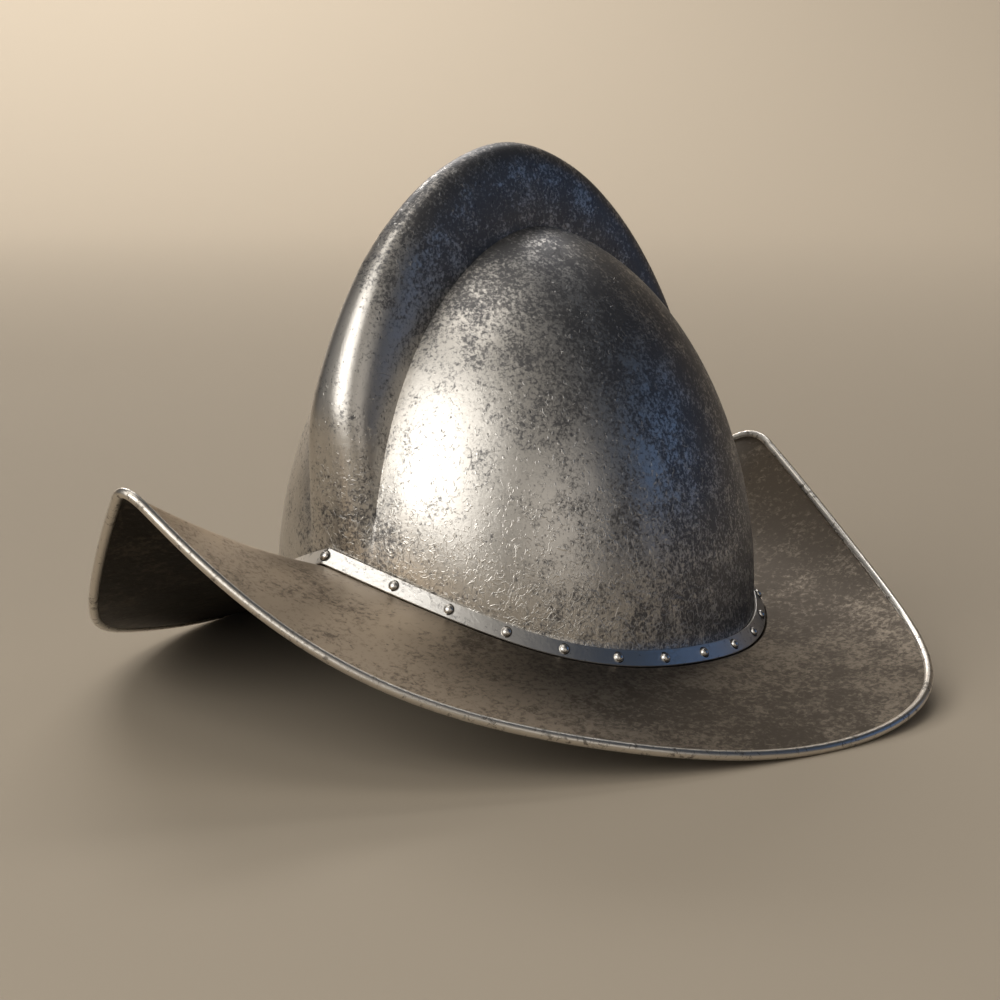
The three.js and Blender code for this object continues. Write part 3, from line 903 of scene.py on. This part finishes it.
# Floor and backdrop in one sweep, with no seam in view
def stage_sweep():
    across = 9.0
    start = 2.4
    bend = 2.6
    profile = [(-9.0, 0.0), (start, 0.0)]
    for k in range(1, 33):
        angle = math.pi / 2 * k / 32
        profile.append((start + bend * math.sin(angle), bend - bend * math.cos(angle)))
    profile.append((start + bend, 6.0))
    way = AWAY
    side = -LEFT
    points = []
    faces = []
    for along, up in profile:
        for end in (-1, 1):
            spot = way * along + side * (end * across)
            points.append((spot.x, spot.y, up))
    for i in range(len(profile) - 1):
        faces.append((2 * i, 2 * i + 1, 2 * i + 3, 2 * i + 2))
    mesh = bpy.data.meshes.new("floor")
    mesh.from_pydata(points, [], faces)
    mesh.polygons.foreach_set("use_smooth", [True] * len(mesh.polygons))
    floor = bpy.data.objects.new("floor", mesh)
    bpy.context.scene.collection.objects.link(floor)
    material, _, shader, _ = new_material("floor_paper")
    shader.inputs["Metallic"].default_value = 0.0
    shader.inputs["Base Color"].default_value = (0.412, 0.35, 0.272, 1)
    shader.inputs["Roughness"].default_value = 0.85
    shader.inputs["Specular IOR Level"].default_value = 0.2
    floor.data.materials.append(material)


stage_sweep()


# Lights
def aim(thing, target):
    way = Vector(target) - thing.location
    thing.rotation_euler = way.to_track_quat("-Z", "Y").to_euler()


def area_light(name, azimuth, elevation, distance, size, power, colour, target=(0, 0.02, 0.09)):
    data = bpy.data.lights.new(name, "AREA")
    data.shape = "RECTANGLE"
    data.size = size[0]
    data.size_y = size[1]
    data.energy = power
    data.color = colour
    thing = bpy.data.objects.new(name, data)
    a = math.radians(azimuth)
    e = math.radians(elevation)
    way = Vector((math.sin(a) * math.cos(e), -math.cos(a) * math.cos(e), math.sin(e)))
    thing.location = Vector(target) + way * distance
    bpy.context.scene.collection.objects.link(thing)
    aim(thing, target)


area_light("key_softbox", 8, 29, 1.7, (1.95, 1.5), 14.5, (1.0, 0.98, 0.94))
area_light("hot_spot", 8, 27, 1.6, (0.4, 0.6), 3.0, (1.0, 0.99, 0.96))
area_light("fill_panel", 78, 12, 1.3, (0.7, 0.6), 0.78, (1.0, 0.93, 0.84))
area_light("top_softbox", -10, 78, 2.0, (1.0, 1.0), 5.5, (1.0, 0.96, 0.9))
area_light("blue_panel", 142, 14, 2.2, (1.6, 0.9), 1.15, (0.2, 0.46, 1.0))
area_light("left_panel", -98, 14, 1.0, (0.5, 0.4), 0.11, (0.86, 0.93, 1.0))


# Washes from above on the far floor and on the backdrop, brightest at its upper left
def wash_light(name, size, power, away, aside, height, target_away, target_height):
    data = bpy.data.lights.new(name, "AREA")
    data.size = size
    data.energy = power
    data.color = (1.0, 0.98, 0.96)
    thing = bpy.data.objects.new(name, data)
    way = AWAY
    left = LEFT
    thing.location = way * away + left * aside + Vector((0, 0, height))
    bpy.context.scene.collection.objects.link(thing)
    aim(thing, way * target_away + left * aside + Vector((0, 0, target_height)))


wash_light("backdrop_wash", 1.5, 104, 3.3, 1.1, 2.7, 4.1, 0.0)
wash_light("floor_wash", 1.4, 24, 2.2, -0.5, 2.7, 2.4, 0.0)


# Surroundings: dim and bluish behind, warm and lighter on the key's side
def studio_world():
    world = bpy.data.worlds.new("studio")
    world.use_nodes = True
    tree = world.node_tree
    way = tree.nodes.new("ShaderNodeTexCoord").outputs["Generated"]
    toward_key = (0.18, -0.85, 0.5)
    product = add(tree, "ShaderNodeVectorMath", {0: way, 1: toward_key}, operation="DOT_PRODUCT")
    facing = product.outputs["Value"]
    colour = blend(tree, ramp(tree, facing, 0.1, 1.0), (0.022, 0.032, 0.05, 1), (0.34, 0.315, 0.28, 1))
    tree.links.new(colour, tree.nodes["Background"].inputs[0])
    bpy.context.scene.world = world


studio_world()

scene = bpy.context.scene
scene.view_settings.view_transform = "Standard"
scene.view_settings.look = "None"

# Camera at the photograph's angle
camera_data = bpy.data.cameras.new("camera")
camera_data.sensor_width = 36
camera_data.lens = 89.5
camera_data.clip_end = 30
camera = bpy.data.objects.new("camera", camera_data)
camera.location = (0.6753, -0.7122, 0.2545)
bpy.context.scene.collection.objects.link(camera)
aim(camera, (0.0040, 0.0074, 0.0743))
scene.camera = camera
